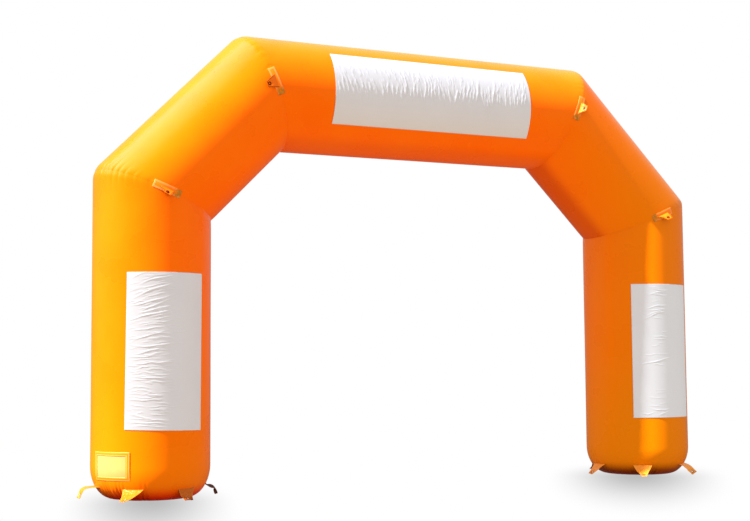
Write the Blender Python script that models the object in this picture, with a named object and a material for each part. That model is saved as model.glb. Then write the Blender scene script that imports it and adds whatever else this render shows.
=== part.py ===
"""Inflatable arch: an air-filled tube of five welded sections with blank banners, guy flaps and foot tabs.

Units are metres. +Z is up, +X runs along the arch's width, the front faces -Y, and the origin is on the
ground midway between the two feet.
"""

import math
from collections import namedtuple

import bmesh
import bpy
from mathutils import Matrix, Vector

# Driving dimensions of the arch.
OUTER_WIDTH = 6.0
OUTER_HEIGHT = 4.0
TUBE_DIAMETER = 1.0
SHOULDER_REACH = 0.96  # level and upright run of each shoulder's axis, which leans at 45 degrees

# The tube's ends.
SEAM_DRAW = 0.008  # how far a mitre's weld draws the skin in
SEAM_CROWN = 0.10  # distance from the weld at which the tube is full again
FOOT_ROUND_HEIGHT = 0.27
FOOT_ROUND_DEPTH = 0.20
FOOT_ROUND_STEPS = 5

# Cloth and fits.
SHEET_THICKNESS = 0.0015
PIECE_GAP = 0.0003
FACET_ROOM = 0.0004  # keeps a faceted sheet's flats clear of the faceted tube under it

# Banners, with their length along the tube and their width round it.
BANNER_WIDTH = 0.687
LEG_BANNER_BASE = 0.562
LEG_BANNER_LENGTH = 1.297
TOP_BANNER_LENGTH = 2.0
TOP_BANNER_RAISED = math.radians(3.8)  # the crossbar's banner sits a little above its front line
BANNER_COLUMNS = 8

# Document pocket and its card, low on the left leg.
POCKET_TURN = math.radians(-57)
POCKET_BASE = 0.165
POCKET_SIZE = (0.38, 0.235)
POCKET_WINDOW = (0.306, 0.172)
CARD_SIZE = (0.325, 0.19)
LABEL_STEPS = 6
WHOLE_ROW = 1e9  # the reach of a lift that is the same all along a row

# Guy flaps on the front of the four mitres, and the patches they are welded to.
PATCH_LENGTH = 0.246
PATCH_WIDTH = 0.068
PATCH_STEPS = (8, 2)
FLAP_ROOT = 0.125
FLAP_TIP = 0.058
FLAP_EYELET_SET = 0.026  # from the tip's edge to the eyelet's centre

# Tabs round the feet.
TAB_ROOT = 0.185
TAB_ROOT_HEIGHT = 0.105
TAB_EYELET_SET = 0.030
ROOT_STEPS = 4  # flats along the root of a tab or flap

# Eyelets.
EYELET_BORE = 0.008
EYELET_BARREL = 0.0106
EYELET_FLANGE = 0.0155
EYELET_WALL = 0.0009
EYELET_SIDES = 10

TUBE_SIDES = 40

# Edges sharper than these keep a hard line when shaded.
SHARP_EDGE = math.radians(30)
SHARP_FOLD = math.radians(50)

# Colours, each with its roughness.
TUBE_FINISH = ((1.0, 0.235, 0.0), 0.25)
PATCH_FINISH = ((1.0, 0.27, 0.01), 0.3)
FLAP_FINISH = ((1.0, 0.45, 0.03), 0.3)
TAB_FINISH = ((1.0, 0.4, 0.02), 0.35)
BANNER_FINISH = ((0.9, 0.9, 0.9), 0.5)
CARD_FINISH = ((0.95, 0.85, 0.35), 0.4)
EYELET_FINISH = ((0.55, 0.55, 0.56), 0.3)

# Derived places.
TUBE_RADIUS = TUBE_DIAMETER / 2
LEG_X = OUTER_WIDTH / 2 - TUBE_RADIUS
CROSSBAR_Z = OUTER_HEIGHT - TUBE_RADIUS
LEG_HEIGHT = CROSSBAR_Z - SHOULDER_REACH
CROSSBAR_X = LEG_X - SHOULDER_REACH
SHOULDER_LEAN = math.radians(45)
MITRE_ANGLE = SHOULDER_LEAN / 2
MITRE_SLOPE = math.tan(MITRE_ANGLE)

Crease = namedtuple("Crease", "place half_width height centre reach slant")
SheetRow = namedtuple("SheetRow", "height slant lift centre reach", defaults=(0.0, 0.0, 0.0, 1.0))
Mitre = namedtuple("Mitre", "name x z seam_turn side along length slopes skew")
Tab = namedtuple("Tab", "name foot turn length slopes skew tip")

# place is a share of the banner's length, centre and reach are shares of its half width, slant is metres.
LEFT_CREASES = (
    Crease(0.06, 0.016, 0.003, -0.2, 0.7, 0.000),
    Crease(0.17, 0.014, 0.004, -0.4, 0.6, 0.004),
    Crease(0.30, 0.015, 0.003, -0.1, 0.7, 0.006),
    Crease(0.43, 0.018, 0.004, -0.5, 0.5, 0.010),
    Crease(0.55, 0.015, 0.003, -0.3, 0.6, 0.014),
    Crease(0.68, 0.017, 0.005, -0.2, 0.6, 0.020),
    Crease(0.81, 0.016, 0.004, -0.4, 0.6, 0.026),
    Crease(0.93, 0.015, 0.003, 0.0, 0.8, 0.018),
)
RIGHT_CREASES = (
    Crease(0.07, 0.016, 0.003, -0.1, 0.8, 0.004),
    Crease(0.16, 0.014, 0.003, 0.2, 0.6, 0.006),
    Crease(0.45, 0.018, 0.004, 0.1, 0.7, 0.030),
    Crease(0.82, 0.015, 0.003, -0.2, 0.6, 0.008),
    Crease(0.92, 0.016, 0.004, 0.0, 0.8, 0.006),
)
TOP_CREASES = (
    Crease(0.05, 0.016, 0.004, 0.0, 0.5, 0.010),
    Crease(0.15, 0.014, 0.003, 0.1, 0.4, 0.008),
    Crease(0.26, 0.018, 0.004, 0.1, 0.4, -0.006),
    Crease(0.38, 0.015, 0.004, 0.0, 0.5, 0.012),
    Crease(0.50, 0.016, 0.003, 0.1, 0.4, 0.008),
    Crease(0.61, 0.018, 0.004, 0.2, 0.4, -0.008),
    Crease(0.73, 0.015, 0.003, 0.1, 0.5, 0.010),
    Crease(0.85, 0.016, 0.004, 0.0, 0.5, 0.012),
    Crease(0.95, 0.014, 0.003, 0.1, 0.5, 0.006),
)

# seam_turn is the seam's direction in degrees from +X in the arch's plane, and along is how far the
# fittings sit from the front line towards the outer corner. A flap leans over the seam's left (1) or right
# (-1) side, slopes are the rises off the tube of its two lengths, in degrees, and skew swings its tip.
MITRES = (
    Mitre("left_low", -LEG_X, LEG_HEIGHT, 157.5, 1, 0.014, 0.072, (54, 34), 0.006),
    Mitre("left_high", -CROSSBAR_X, CROSSBAR_Z, 112.5, 1, 0.030, 0.106, (14, 4), 0.004),
    Mitre("right_high", CROSSBAR_X, CROSSBAR_Z, 67.5, -1, 0.030, 0.074, (74, 58), 0.004),
    Mitre("right_low", LEG_X, LEG_HEIGHT, 22.5, -1, 0.006, 0.088, (62, 40), 0.014),
)
FLAP_BENDS = (0.35,)  # share of a flap's length at which its slope changes

# turn is a tab's place round its foot, in degrees from the front, and slopes are the rises of its three
# lengths, in degrees. skew is how far its tip swings aside, and tip is its width there.
TABS = (
    Tab("left_outer", -1, -90, 0.195, (-3, -12, -68), 0.010, 0.052),
    Tab("left_front_outer", -1, -33, 0.205, (-40, -27, -18), -0.036, 0.052),
    Tab("left_front_inner", -1, 24, 0.135, (-78, -66, -30), -0.040, 0.088),
    Tab("left_inner", -1, 86, 0.160, (-46, 12, -76), 0.000, 0.056),
    Tab("left_back_inner", -1, 150, 0.130, (-60, -52, -40), 0.006, 0.060),
    Tab("left_back_outer", -1, -150, 0.130, (-62, -54, -36), 0.000, 0.056),
    Tab("right_inner", 1, -90, 0.145, (-46, -44, -40), 0.000, 0.052),
    Tab("right_front_inner", 1, -30, 0.150, (-84, -38, -28), 0.000, 0.048),
    Tab("right_front_outer", 1, 34, 0.155, (-26, -42, -46), 0.000, 0.060),
    Tab("right_outer", 1, 106, 0.165, (-50, -24, -22), 0.004, 0.054),
    Tab("right_back_outer", 1, 150, 0.130, (-54, -56, -42), 0.000, 0.060),
    Tab("right_back_inner", 1, -154, 0.130, (-62, -54, -36), -0.020, 0.056),
)
TAB_BENDS = (0.30, 0.58)  # shares of a tab's length at which its slope changes


def clear_scene():
    """Removes whatever is in the scene."""
    for thing in list(bpy.data.objects):
        bpy.data.objects.remove(thing, do_unlink=True)


def surface_finish(name, colour, roughness, metallic):
    """A plain finish with the piece's colour, gloss and metallic value."""
    finish = bpy.data.materials.new(name)
    finish.use_nodes = True
    shader = finish.node_tree.nodes["Principled BSDF"]
    shader.inputs["Base Color"].default_value = (*colour, 1.0)
    shader.inputs["Roughness"].default_value = roughness
    shader.inputs["Metallic"].default_value = metallic
    return finish


def add_object(name, mesh, look, location=(0, 0, 0), rotation=(0, 0, 0), metallic=0.0):
    """Puts a mesh in the scene as one named piece with a finish of its own."""
    piece = bpy.data.objects.new(name, mesh)
    bpy.context.collection.objects.link(piece)
    if not mesh.materials:
        mesh.materials.append(None)
    piece.material_slots[0].link = "OBJECT"
    piece.material_slots[0].material = surface_finish(name, *look, metallic)
    piece.location = location
    piece.rotation_euler = rotation
    return piece


def to_mesh(name, bm, smooth_below=SHARP_EDGE):
    """Turns a bmesh into a mesh, smooth except along its sharper edges."""
    mesh = bpy.data.meshes.new(name)
    bm.to_mesh(mesh)
    bm.free()
    mesh.shade_smooth()
    mesh.set_sharp_from_angle(angle=smooth_below)
    return mesh


def thicken(piece, offset):
    """Gives a sheet its thickness, to the outside (1), or equally to both sides (0)."""
    solid = piece.modifiers.new("Thickness", "SOLIDIFY")
    solid.thickness = SHEET_THICKNESS
    solid.offset = offset
    solid.use_even_offset = True
    solid.use_rim = True


def foot_radius(height):
    """The leg's radius at a height: full above the foot's round, drawn in below it."""
    if height >= FOOT_ROUND_HEIGHT:
        return TUBE_RADIUS
    share = 1 - height / FOOT_ROUND_HEIGHT
    return TUBE_RADIUS - FOOT_ROUND_DEPTH * (1 - math.sqrt(1 - share * share))


def lofted_tube(name, rings):
    """A capped tube through rings of (radius, height on the axis, slope of the ring's plane)."""
    bm = bmesh.new()
    turn = bm.verts.layers.float.new("turn")
    ring = bmesh.ops.create_circle(bm, cap_ends=True, segments=TUBE_SIDES, radius=1.0)["verts"]
    for vertex in ring:
        vertex[turn] = math.atan2(vertex.co.y, vertex.co.x)
    edges = list(bm.edges)
    for row, (radius, height, slope) in enumerate(rings):
        if row:
            grown = bmesh.ops.extrude_edge_only(bm, edges=edges)["geom"]
            ring = [part for part in grown if isinstance(part, bmesh.types.BMVert)]
            edges = [part for part in grown if isinstance(part, bmesh.types.BMEdge)]
            edges = [edge for edge in edges if all(vertex in ring for vertex in edge.verts)]
        for vertex in ring:
            x = radius * math.cos(vertex[turn])
            vertex.co = (x, radius * math.sin(vertex[turn]), height + slope * x)
    bmesh.ops.contextual_create(bm, geom=edges)
    bmesh.ops.recalc_face_normals(bm, faces=bm.faces)
    return to_mesh(name, bm)


def mitre_rings(height, slope, inward):
    """The ring at a mitre's weld and the ring where the tube is full again, from the weld inwards."""
    full = inward * SEAM_CROWN / math.cos(MITRE_ANGLE)
    clearance = inward * PIECE_GAP / 2 / math.cos(MITRE_ANGLE)
    weld = (TUBE_RADIUS - SEAM_DRAW, height + clearance, slope)
    return [weld, (TUBE_RADIUS, height + full, slope)]


def leg_mesh():
    """A leg from its flat base, through the foot's round, to its mitre; +X is the arch's inner side."""
    rings = []
    for step in range(FOOT_ROUND_STEPS + 1):
        angle = math.pi / 2 * step / FOOT_ROUND_STEPS
        height = FOOT_ROUND_HEIGHT * (1 - math.cos(angle))
        rings.append((foot_radius(height), height, 0.0))
    rings += reversed(mitre_rings(LEG_HEIGHT, -MITRE_SLOPE, -1))
    return lofted_tube("leg", rings)


def span_mesh(name, length):
    """A tube between two mitres, along +Z, with +X on the arch's inner side."""
    rings = mitre_rings(0.0, MITRE_SLOPE, 1)
    rings += reversed(mitre_rings(length, -MITRE_SLOPE, -1))
    return lofted_tube(name, rings)


def build_tube():
    """The five welded sections of the air-filled tube."""
    leg = leg_mesh()
    shoulder = span_mesh("shoulder", SHOULDER_REACH * math.sqrt(2))
    crossbar = span_mesh("crossbar", 2 * CROSSBAR_X)
    places = (
        ("leg_left", leg, (-LEG_X, 0, 0), (0, 0, 0)),
        ("shoulder_left", shoulder, (-LEG_X, 0, LEG_HEIGHT), (0, SHOULDER_LEAN, 0)),
        ("crossbar", crossbar, (-CROSSBAR_X, 0, CROSSBAR_Z), (0, 2 * SHOULDER_LEAN, 0)),
        ("shoulder_right", shoulder, (CROSSBAR_X, 0, CROSSBAR_Z), (0, 3 * SHOULDER_LEAN, 0)),
        ("leg_right", leg, (LEG_X, 0, 0), (0, 0, math.pi)),
    )
    for name, mesh, location, rotation in places:
        add_object(name, mesh, TUBE_FINISH, location, rotation)


def wrapped_sheet(name, rows, columns, radius_at, centre_turn):
    """A sheet round an upright tube, from rows up it and columns round it, in radians from its middle."""
    bm = bmesh.new()
    bmesh.ops.create_grid(bm, x_segments=len(columns) - 1, y_segments=len(rows) - 1, size=1.0)
    widest_step = max(right - left for left, right in zip(columns, columns[1:]))
    for vertex in bm.verts:
        turn = columns[round((vertex.co.x + 1) / 2 * (len(columns) - 1))]
        row = rows[round((vertex.co.y + 1) / 2 * (len(rows) - 1))]
        across = turn / columns[-1]
        swell = max(0.0, 1 - ((across - row.centre) / row.reach) ** 2)
        height = row.height + row.slant * across
        radius = radius_at(height) + PIECE_GAP + FACET_ROOM + row.lift * swell
        radius /= math.cos(widest_step / 2)
        turn += centre_turn
        vertex.co = (radius * math.sin(turn), -radius * math.cos(turn), height)
    return to_mesh(name, bm)


def even_steps(low, high, count):
    """count + 1 even values from low to high."""
    return [low + (high - low) * step / count for step in range(count + 1)]


def full_radius(height):
    """The tube's radius away from its ends, the same at every height."""
    return TUBE_RADIUS


def banner_mesh(name, base, length, creases):
    """A blank banner round an upright tube, with its main creases as soft ridges."""
    half = BANNER_WIDTH / 2 / TUBE_RADIUS
    rows = [SheetRow(base)]
    for crease in creases:
        middle = base + crease.place * length
        for side in (-1, 0, 1):
            lift = 0.0 if side else crease.height
            height = middle + side * crease.half_width
            rows.append(SheetRow(height, crease.slant, lift, crease.centre, crease.reach))
    rows.append(SheetRow(base + length))
    columns = even_steps(-half, half, BANNER_COLUMNS)
    return wrapped_sheet(name, rows, columns, full_radius, 0.0)


def build_banners():
    """The two upright banners on the legs and the level one on the crossbar."""
    places = (
        ("banner_left", LEG_BANNER_BASE, LEG_BANNER_LENGTH, LEFT_CREASES),
        ("banner_right", LEG_BANNER_BASE, LEG_BANNER_LENGTH, RIGHT_CREASES),
        ("banner_top", -TOP_BANNER_LENGTH / 2, TOP_BANNER_LENGTH, TOP_CREASES),
    )
    for name, base, length, creases in places:
        piece = add_object(name, banner_mesh(name, base, length, creases), BANNER_FINISH)
        thicken(piece, 1)
        if name == "banner_top":
            piece.rotation_mode = "ZYX"
            piece.rotation_euler = (-TOP_BANNER_RAISED, math.pi / 2, 0)
            piece.location = (0, 0, CROSSBAR_Z)
        else:
            piece.location = (-LEG_X if name == "banner_left" else LEG_X, 0, 0)


def label_rows(middle, half_height, raised):
    """Rows of a flat piece on the leg, standing raised metres off it."""
    heights = even_steps(middle - half_height, middle + half_height, LABEL_STEPS)
    return [SheetRow(height, lift=raised, reach=WHOLE_ROW) for height in heights]


def build_label():
    """The blank card on the left leg and the welded frame of the pocket that holds it."""
    middle = POCKET_BASE + POCKET_SIZE[1] / 2
    card_half = CARD_SIZE[0] / 2 / TUBE_RADIUS
    rows = label_rows(middle, CARD_SIZE[1] / 2, 0.0)
    columns = even_steps(-card_half, card_half, LABEL_STEPS)
    mesh = wrapped_sheet("label_card", rows, columns, foot_radius, POCKET_TURN)
    thicken(add_object("label_card", mesh, CARD_FINISH, (-LEG_X, 0, 0)), 1)

    half = POCKET_SIZE[0] / 2 / TUBE_RADIUS
    window = POCKET_WINDOW[0] / 2 / TUBE_RADIUS
    columns = [-half, *even_steps(-window, window, LABEL_STEPS), half]
    above_card = SHEET_THICKNESS + 2 * (PIECE_GAP + FACET_ROOM)
    rows = label_rows(middle, POCKET_WINDOW[1] / 2, above_card)
    sill = (POCKET_SIZE[1] - POCKET_WINDOW[1]) / 2
    lowest = rows[0]._replace(height=rows[0].height - sill)
    highest = rows[-1]._replace(height=rows[-1].height + sill)
    mesh = wrapped_sheet("label_pocket", [lowest, *rows, highest], columns, foot_radius, POCKET_TURN)
    cut_window(mesh)
    thicken(add_object("label_pocket", mesh, PATCH_FINISH, (-LEG_X, 0, 0)), 1)


def cut_window(mesh):
    """Removes a sheet's faces that touch none of its outer vertices."""
    bm = bmesh.new()
    bm.from_mesh(mesh)
    border = {vertex for vertex in bm.verts if vertex.is_boundary}
    inner = [face for face in bm.faces if not border.intersection(face.verts)]
    bmesh.ops.delete(bm, geom=inner, context="FACES")
    bm.to_mesh(mesh)
    bm.free()


def mitre_surface(along, across):
    """The tube's height over its axis at a place on a mitre, along its seam and across it."""
    off_axis = along * math.cos(MITRE_ANGLE) + abs(across) * math.sin(MITRE_ANGLE)
    radius = TUBE_RADIUS - SEAM_DRAW * max(0.0, 1 - abs(across) / SEAM_CROWN)
    return math.sqrt(radius * radius - off_axis * off_axis)


def patch_mesh(shift):
    """A rectangular patch over a mitre's weld: X along the seam, Y across it, Z off the tube."""
    bm = bmesh.new()
    bmesh.ops.create_grid(bm, x_segments=PATCH_STEPS[0], y_segments=PATCH_STEPS[1], size=0.5)
    for vertex in bm.verts:
        along, across = shift + vertex.co.x * PATCH_LENGTH, vertex.co.y * PATCH_WIDTH
        height = mitre_surface(along, across) + PIECE_GAP + FACET_ROOM
        vertex.co = (along, across, height)
    return to_mesh("patch", bm)


def outline_with_hole(root, tip, length, skew, hole_set, hole_radius):
    """A flat trapezoid, root edge at y = 0 and tip at y = length, with one hole near its tip."""
    bm = bmesh.new()
    edge = [(x, 0.0) for x in even_steps(-root / 2, root / 2, ROOT_STEPS)]
    edge += [(skew + tip / 2, length), (skew - tip / 2, length)]
    outline = [bm.verts.new((x, y, 0)) for x, y in edge]
    for first, second in zip(outline, outline[1:] + outline[:1]):
        bm.edges.new((first, second))
    hole = bmesh.ops.create_circle(bm, segments=EYELET_SIDES, radius=hole_radius)["verts"]
    centre_x = skew * (length - hole_set) / length
    bmesh.ops.translate(bm, verts=hole, vec=(centre_x, length - hole_set, 0))
    bmesh.ops.triangle_fill(bm, use_beauty=True, use_dissolve=False, edges=bm.edges)
    return bm, centre_x


def path_point(place, length, bends, slopes):
    """How far along and up a bent strip has gone at a place on it, and its slope there."""
    run = rise = start = 0.0
    for share, slope in zip((*bends, 1.0), slopes):
        angle = math.radians(slope)
        step = min(place, share * length) - start
        run += step * math.cos(angle)
        rise += step * math.sin(angle)
        start += step
        if place < share * length + PIECE_GAP:
            break
    return run, rise, angle


def bent_tab(name, bm, length, bends, slopes, root_seat):
    """Bends a flat tab in steps along -Y. root_seat gives its root edge's moves in and up at each x."""
    for share in bends:
        cut = bm.verts[:] + bm.edges[:] + bm.faces[:]
        bmesh.ops.bisect_plane(bm, geom=cut, plane_co=(0, share * length, 0), plane_no=(0, 1, 0))
    for vertex in bm.verts:
        run, rise, _ = path_point(vertex.co.y, length, bends, slopes)
        inward, upward = root_seat(vertex.co.x) if vertex.co.y < PIECE_GAP else (0.0, 0.0)
        vertex.co = (vertex.co.x, inward - run, upward + rise)
    bmesh.ops.triangulate(bm, faces=bm.faces)
    bmesh.ops.reverse_faces(bm, faces=[face for face in bm.faces if face.normal.z < 0])
    return to_mesh(name, bm, SHARP_FOLD)


def eyelet_mesh():
    """A metal eyelet: a barrel with a flange on each face of the cloth, its axis along Z."""
    face = SHEET_THICKNESS / 2 + PIECE_GAP
    rim = face + EYELET_WALL
    profile = [
        (EYELET_BORE, -rim), (EYELET_FLANGE, -rim), (EYELET_FLANGE, -face), (EYELET_BARREL, -face),
        (EYELET_BARREL, face), (EYELET_FLANGE, face), (EYELET_FLANGE, rim), (EYELET_BORE, rim),
    ]
    bm = bmesh.new()
    corners = [bm.verts.new((0, radius, height)) for radius, height in profile]
    edges = [bm.edges.new(pair) for pair in zip(corners, corners[1:] + corners[:1])]
    bmesh.ops.spin(
        bm, geom=corners + edges, cent=(0, 0, 0), axis=(0, 0, 1), angle=2 * math.pi,
        steps=EYELET_SIDES, use_merge=True,
    )
    bmesh.ops.recalc_face_normals(bm, faces=bm.faces)
    return to_mesh("eyelet", bm)


def fit_eyelet(tab, name, mesh, centre_x, hole_path):
    """Sets an eyelet in a tab's hole, square to the cloth there."""
    run, rise, angle = hole_path
    eyelet = add_object(name, mesh, EYELET_FINISH, metallic=1.0)
    eyelet.parent = tab
    eyelet.location = (centre_x, -run, rise)
    eyelet.rotation_euler = (-angle, 0, 0)


def mitre_frame(mitre):
    """An empty at a mitre: X along its seam to the outer corner, Z out of the arch's front."""
    along = Vector((math.cos(math.radians(mitre.seam_turn)), 0, math.sin(math.radians(mitre.seam_turn))))
    front = Vector((0, -1, 0))
    frame = bpy.data.objects.new(f"mitre_{mitre.name}", None)
    bpy.context.collection.objects.link(frame)
    turn = Matrix((along, front.cross(along), front)).transposed().to_4x4()
    frame.matrix_world = Matrix.Translation((mitre.x, 0, mitre.z)) @ turn
    return frame


def build_mitre_fittings(eyelet):
    """A patch, a guy flap and its eyelet on the front of each mitre."""
    hole_radius = EYELET_BARREL + 2 * PIECE_GAP
    above_patch = 2 * (PIECE_GAP + FACET_ROOM) + SHEET_THICKNESS
    for mitre in MITRES:
        frame = mitre_frame(mitre)
        name = f"patch_{mitre.name}"
        piece = add_object(name, patch_mesh(mitre.along), PATCH_FINISH)
        piece.parent = frame
        thicken(piece, 1)

        name = f"flap_{mitre.name}"
        flat, centre_x = outline_with_hole(
            FLAP_ROOT, FLAP_TIP, mitre.length, mitre.skew, FLAP_EYELET_SET, hole_radius
        )
        crown = mitre_surface(mitre.along, 0)

        def root_seat(x):
            """Keeps the root edge on the patch, which falls away round the tube."""
            return 0.0, mitre_surface(mitre.along - mitre.side * x, 0) - crown

        mesh = bent_tab(name, flat, mitre.length, FLAP_BENDS, mitre.slopes, root_seat)
        flap = add_object(name, mesh, FLAP_FINISH)
        thicken(flap, 0)
        flap.parent = frame
        flap.rotation_euler = (0, 0, math.pi if mitre.side > 0 else 0)
        half_sheet = SHEET_THICKNESS / 2 * math.cos(math.radians(mitre.slopes[0]))
        flap.location = (mitre.along, 0, crown + above_patch + half_sheet)
        hole_path = path_point(mitre.length - FLAP_EYELET_SET, mitre.length, FLAP_BENDS, mitre.slopes)
        fit_eyelet(flap, f"eyelet_{mitre.name}", eyelet, centre_x, hole_path)


def build_foot_tabs(eyelet):
    """Six anchor tabs with eyelets round each foot, each lying in its own way."""
    hole_radius = EYELET_BARREL + 2 * PIECE_GAP
    root = foot_radius(TAB_ROOT_HEIGHT) + PIECE_GAP

    def root_seat(x):
        """Keeps the root edge on the foot, which curves away to both sides."""
        return root - math.sqrt(root * root - x * x), 0.0

    for tab in TABS:
        name = f"tab_{tab.name}"
        flat, centre_x = outline_with_hole(
            TAB_ROOT, tab.tip, tab.length, tab.skew, TAB_EYELET_SET, hole_radius
        )
        mesh = bent_tab(name, flat, tab.length, TAB_BENDS, tab.slopes, root_seat)
        piece = add_object(name, mesh, TAB_FINISH)
        thicken(piece, 0)
        turn = math.radians(tab.turn)
        piece.rotation_euler = (0, 0, turn)
        piece.location = (tab.foot * LEG_X + root * math.sin(turn), -root * math.cos(turn), TAB_ROOT_HEIGHT)
        hole_path = path_point(tab.length - TAB_EYELET_SET, tab.length, TAB_BENDS, tab.slopes)
        fit_eyelet(piece, f"eyelet_foot_{tab.name}", eyelet, centre_x, hole_path)


def main():
    clear_scene()
    build_tube()
    build_banners()
    build_label()
    eyelet = eyelet_mesh()
    build_mitre_fittings(eyelet)
    build_foot_tabs(eyelet)


main()
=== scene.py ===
"""Looks of the inflatable arch: an orange air-filled tube with blank white banners, guy flaps and foot tabs.

Units are metres. +Z is up, +X runs along the arch's width, and the front faces -Y.
"""

from collections import namedtuple
from functools import partial
from math import atan, cos, exp, pi, radians, sin, sqrt, tan
from random import Random

import bmesh
import bpy
import numpy as np
from mathutils import Matrix, Vector


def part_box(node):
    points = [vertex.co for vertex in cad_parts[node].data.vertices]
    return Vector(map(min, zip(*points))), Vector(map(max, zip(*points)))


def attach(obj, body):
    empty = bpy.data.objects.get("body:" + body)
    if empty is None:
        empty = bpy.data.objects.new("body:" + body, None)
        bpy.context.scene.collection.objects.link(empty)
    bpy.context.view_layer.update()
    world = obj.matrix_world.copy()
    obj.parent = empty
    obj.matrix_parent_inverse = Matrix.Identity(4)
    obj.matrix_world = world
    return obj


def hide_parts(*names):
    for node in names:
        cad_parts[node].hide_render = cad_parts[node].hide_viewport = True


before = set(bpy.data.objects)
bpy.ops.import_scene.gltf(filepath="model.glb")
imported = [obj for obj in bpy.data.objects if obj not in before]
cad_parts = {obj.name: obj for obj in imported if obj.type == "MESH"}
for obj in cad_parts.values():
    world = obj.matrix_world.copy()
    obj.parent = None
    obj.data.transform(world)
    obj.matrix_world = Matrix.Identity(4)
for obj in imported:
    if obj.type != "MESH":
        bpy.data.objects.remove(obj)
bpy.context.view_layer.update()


# Tube skin. Five lengths of PVC-coated polyester, cut to mitres and hot-air welded into one air-filled arch.
# The skin rounds over outside each bend, puckers along the welds, and is gathered into each foot's flat base.
leg_low, leg_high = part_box("leg_left")
bar_low, bar_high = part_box("crossbar")
TUBE_RADIUS = (leg_high.y - leg_low.y) / 2
LEG_X = -(leg_low.x + leg_high.x) / 2
CROSSBAR_Z = (bar_low.z + bar_high.z) / 2
SHOULDER_REACH = 0.96  # level and upright run of a shoulder's axis
SHOULDER_LENGTH = SHOULDER_REACH * sqrt(2)
LEG_HEIGHT = CROSSBAR_Z - SHOULDER_REACH
CROSSBAR_X = LEG_X - SHOULDER_REACH
MITRE_SLOPE = tan(radians(22.5))
WELD_GAP = 0.00015
NEAR = 1e-6  # places closer than this are one

COLUMNS = 560
WELD_ROWS = (0, 0.005, 0.01, 0.016, 0.023, 0.031, 0.041, 0.053, 0.068, 0.087, 0.11, 0.14, 0.18, 0.24)
OPEN_ROW = 0.1  # row spacing away from the welds
FOOT_ROWS = 22
FOOT_RISE = 0.27  # height over which a foot rounds inwards, and how far it does
FOOT_DRAW = 0.2
FOOT_FULLNESS = {"leg_left": 0.34}  # share by which a foot's base is fuller at FOOT_FULL_TURN
FOOT_FULL_TURN = radians(-105)
FOOT_FULL_SPREAD = 1.3

OUTER_ROUNDS = (0.17, 0.13, 0.07, 0.06)  # radii of the skin outside the bends, left to right
WELD_DRAW = 0.0018
WELD_DRAW_REACH = 0.055
SKIN_SAG = 0.0012  # slow unevenness of the blown-up skin
SLOW_WAVES = 6
WELD_TUCKS = 34
FOOT_TUCKS = 44

# Painted shade, a darker orange, on a length's inner side: from which turn on, in degrees, and how strongly.
INNER_SHADE = {"crossbar": (-34, 0.3), "shoulder_right": (-20, 0.8)}
INNER_SHADE_COLOUR = "#D04A00"
INNER_SHADE_START_SPREAD = 20
INNER_SHADE_END = 70
INNER_SHADE_END_SPREAD = 40

Tuck = namedtuple("Tuck", "turn width depth reach")
Section = namedtuple("Section", "name place turn_axis turn length low_weld high_weld sense")

SECTIONS = (
    Section("leg_left", (-LEG_X, 0, 0), "Y", 0, LEG_HEIGHT, None, 0, 1),
    Section("shoulder_left", (-LEG_X, 0, LEG_HEIGHT), "Y", 45, SHOULDER_LENGTH, 0, 1, 1),
    Section("crossbar", (-CROSSBAR_X, 0, CROSSBAR_Z), "Y", 90, 2 * CROSSBAR_X, 1, 2, 1),
    Section("shoulder_right", (CROSSBAR_X, 0, CROSSBAR_Z), "Y", 135, SHOULDER_LENGTH, 2, 3, 1),
    Section("leg_right", (LEG_X, 0, 0), "Z", 180, LEG_HEIGHT, None, 3, -1),
)


def weld_tucks(draw, main):
    """The main and the small puckers round one weld, each at its turn from the inner side."""
    tucks = [Tuck(radians(turn), *sizes) for turn, *sizes in main]
    for place in range(WELD_TUCKS):
        turn = 2 * pi * (place + draw.uniform(-0.4, 0.4)) / WELD_TUCKS
        outer = 0.5 - 0.5 * cos(turn)
        depth = draw.uniform(0.0003, 0.0012) + 0.0012 * outer * draw.random()
        tucks.append(Tuck(turn, draw.uniform(0.01, 0.02), depth, draw.uniform(0.03, 0.09)))
    return tucks


def foot_tucks(draw, clusters):
    """Light gathers all round a foot, and clusters of deeper ones."""
    tucks = []
    for place in range(FOOT_TUCKS):
        turn = 2 * pi * (place + draw.uniform(-0.45, 0.45)) / FOOT_TUCKS
        depth = draw.uniform(0.0015, 0.006)
        tucks.append(Tuck(turn, draw.uniform(0.009, 0.016), depth, draw.uniform(0.04, 0.08)))
    for turn, spread, count, deepest in clusters:
        for place in range(count):
            at = radians(turn + spread * ((place + 0.5) / count - 0.5) + draw.uniform(-1.2, 1.2))
            depth = deepest * draw.uniform(0.55, 1.0)
            tucks.append(Tuck(at, draw.uniform(0.008, 0.012), depth, draw.uniform(0.07, 0.11)))
    return tucks


def half_turned(turn):
    """A turn brought to between minus and plus half a circle."""
    return (turn + pi) % (2 * pi) - pi


def eased(share):
    """A share between 0 and 1 that leaves and arrives slowly."""
    return share * share * (3 - 2 * share)


def tuck_depth(tucks, turn, away, radius):
    """How far the tucks draw the skin in, by turn and distance from their weld."""
    depth = np.zeros_like(turn)
    for tuck in tucks:
        off = half_turned(turn - tuck.turn) * radius
        depth += tuck.depth * np.exp(-((off / tuck.width) ** 2) - (away / tuck.reach) ** 2)
    return depth


def weld_depth(weld, turn, away):
    """How far the skin lies inside the full tube near a mitre's weld."""
    outer_round, tucks = weld
    tangent = outer_round * MITRE_SLOPE * np.maximum(0, -np.cos(turn))
    rounding = np.maximum(0, tangent - away) ** 2 / (2 * outer_round)
    drawn = WELD_DRAW * np.maximum(0, 1 - (away / WELD_DRAW_REACH) ** 2) ** 2
    return rounding + drawn + tuck_depth(tucks, turn, away, TUBE_RADIUS)


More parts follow.
